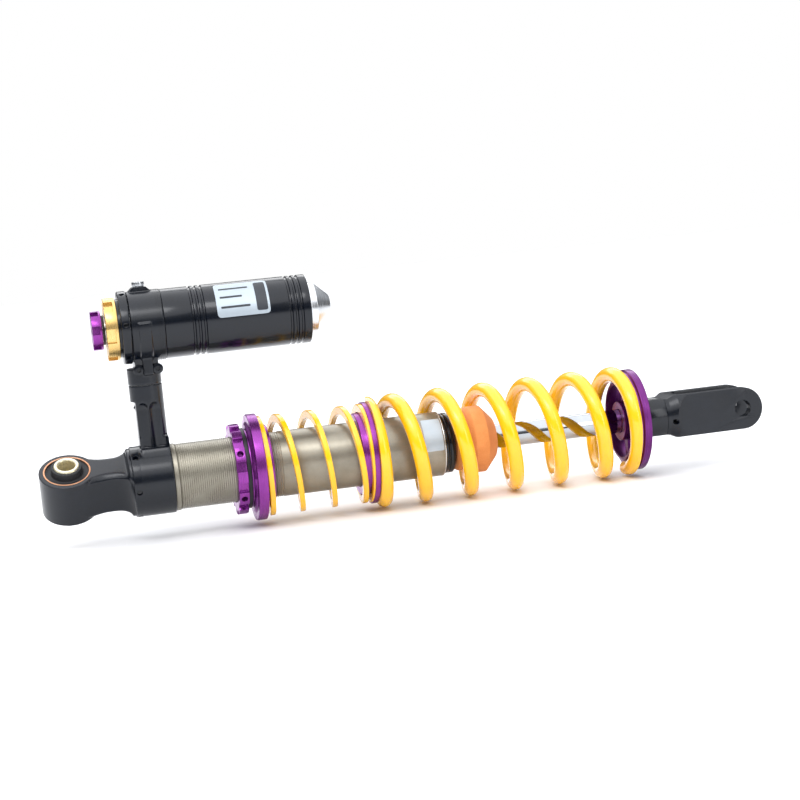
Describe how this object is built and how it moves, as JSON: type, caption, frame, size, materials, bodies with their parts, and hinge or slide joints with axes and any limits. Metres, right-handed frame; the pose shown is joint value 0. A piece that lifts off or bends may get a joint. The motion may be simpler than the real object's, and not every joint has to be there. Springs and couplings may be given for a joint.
{
  "type": "coilover",
  "caption": "Monotube coilover damper with a piggyback reservoir, helper and main springs, threaded spring perch, eye bush and clevis end.",
  "frame": {"origin": "centre of the eye bush, on the axis of the sleeve's bore", "axes": "+X along the damper from the eye to the clevis, +Z from the damper towards the reservoir, +Y along the clevis pin"},
  "size_m": [0.5458, 0.0834, 0.1844],
  "materials": {
    "black_anodised": "satin black anodised aluminium",
    "black_steel": "blackened steel",
    "purple_anodised": "satin purple anodised aluminium",
    "gold_anodised": "satin gold anodised aluminium",
    "hard_anodised": "hard anodised aluminium",
    "yellow_coated_steel": "glossy powder-coated spring steel",
    "hard_chrome": "ground and polished hard chrome",
    "plain_aluminium": "turned",
    "plain_steel": "machined",
    "copper_plated_steel": "copper-coloured plated steel",
    "zinc_steel": "yellow zinc plated",
    "brass": "machined",
    "black_rubber": "moulded",
    "orange_foam": "closed-cell polyurethane foam",
    "black_plastic": "moulded",
    "ptfe_band": "filled fluoropolymer",
    "silver_label": "satin foil label, blank"
  },
  "bodies": {
    "damper_body": {"eye_mount": "black_anodised", "bush_ring": "copper_plated_steel", "bush_rubber": "black_rubber", "eye_lock_ring": "black_anodised", "arm_housing": "black_anodised", "arm_o_ring": "black_rubber", "body_tube": "hard_anodised", "tube_o_ring": "black_rubber", "tube_label": "silver_label", "seal_head": "black_anodised", "rod_seal": "black_rubber", "rod_wiper": "black_rubber", "seal_head_o_ring": "black_rubber", "bump_stop": "orange_foam", "reservoir_head": "black_anodised", "passage_plugs": "black_anodised", "bleed_screw": "plain_steel", "reservoir_tube": "black_anodised", "reservoir_label": "silver_label", "reservoir_end_cap": "plain_aluminium", "end_cap_o_ring": "black_rubber", "gas_valve": "brass", "reservoir_lock_ring": "black_anodised", "valve_cartridge": "plain_aluminium", "cartridge_flange": "black_anodised", "knob_bezel": "black_plastic"},
    "sleeve": {"bush_sleeve": "zinc_steel"},
    "perch": {"spring_perch": "purple_anodised", "glide_ring": "black_plastic", "helper_spring": "yellow_coated_steel"},
    "adjuster": {"adjuster_nut": "purple_anodised"},
    "separator": {"spring_separator": "purple_anodised", "main_spring": "yellow_coated_steel"},
    "upper_plate": {"upper_spring_plate": "purple_anodised"},
    "rod": {"piston_rod": "hard_chrome", "piston": "plain_aluminium", "piston_band": "ptfe_band", "compression_shims": "plain_steel", "rebound_shims": "plain_steel", "piston_nut": "plain_steel", "rod_adaptor": "black_anodised", "clevis": "black_anodised", "clevis_grub_screw": "black_steel"},
    "low_speed_adjuster": {"low_speed_knob": "purple_anodised", "low_speed_needle": "plain_steel"},
    "high_speed_adjuster": {"high_speed_knob": "gold_anodised"},
    "gas_piston": {"floating_piston": "plain_aluminium", "floating_piston_o_ring": "black_rubber", "floating_piston_band": "ptfe_band"}
  },
  "joints": [
    {"name": "bush_twist", "type": "hinge", "parent": "damper_body", "child": "sleeve", "pos_m": [0, 0, 0], "axis": [0, -0.5, 0.866], "range_deg": [-12, 12], "stiffness_Nm_per_rad": 25},
    {"name": "damper_stroke", "type": "slide", "parent": "damper_body", "child": "upper_plate", "axis": [1, 0, 0], "range_m": [-0.099, 0], "stiffness_N_per_m": 9000, "springref_m": 0.004, "deforming": ["main_spring", "helper_spring"]},
    {"name": "rod_swivel", "type": "hinge", "parent": "upper_plate", "child": "rod", "pos_m": [0.4283, 0, 0], "axis": [1, 0, 0], "continuous": true},
    {"name": "preload_travel", "type": "slide", "parent": "damper_body", "child": "perch", "axis": [1, 0, 0], "range_m": [-0.036, 0]},
    {"name": "adjuster_turn", "type": "hinge", "parent": "perch", "child": "adjuster", "pos_m": [0.12, 0, 0], "axis": [1, 0, 0], "range_deg": [-8641, 0]},
    {"name": "separator_travel", "type": "slide", "parent": "perch", "child": "separator", "axis": [1, 0, 0], "range_m": [-0.04455, 0]},
    {"name": "gas_piston_travel", "type": "slide", "parent": "damper_body", "child": "gas_piston", "axis": [1, 0, 0], "range_m": [0, 0.01697]},
    {"name": "high_speed_knob_turn", "type": "hinge", "parent": "damper_body", "child": "high_speed_adjuster", "pos_m": [0.04, 0, 0.111], "axis": [1, 0, 0], "range_deg": [0, 540]},
    {"name": "low_speed_knob_turn", "type": "hinge", "parent": "damper_body", "child": "low_speed_adjuster", "pos_m": [0.04, 0, 0.111], "axis": [1, 0, 0], "range_deg": [0, 720]}
  ],
  "couplings": [
    {"joint": "adjuster_turn", "follows": "preload_travel", "rad_per_m": 4188.8},
    {"joint": "separator_travel", "follows": "damper_stroke", "ratio": 0.45},
    {"joint": "gas_piston_travel", "follows": "damper_stroke", "ratio": -0.17044}
  ]
}
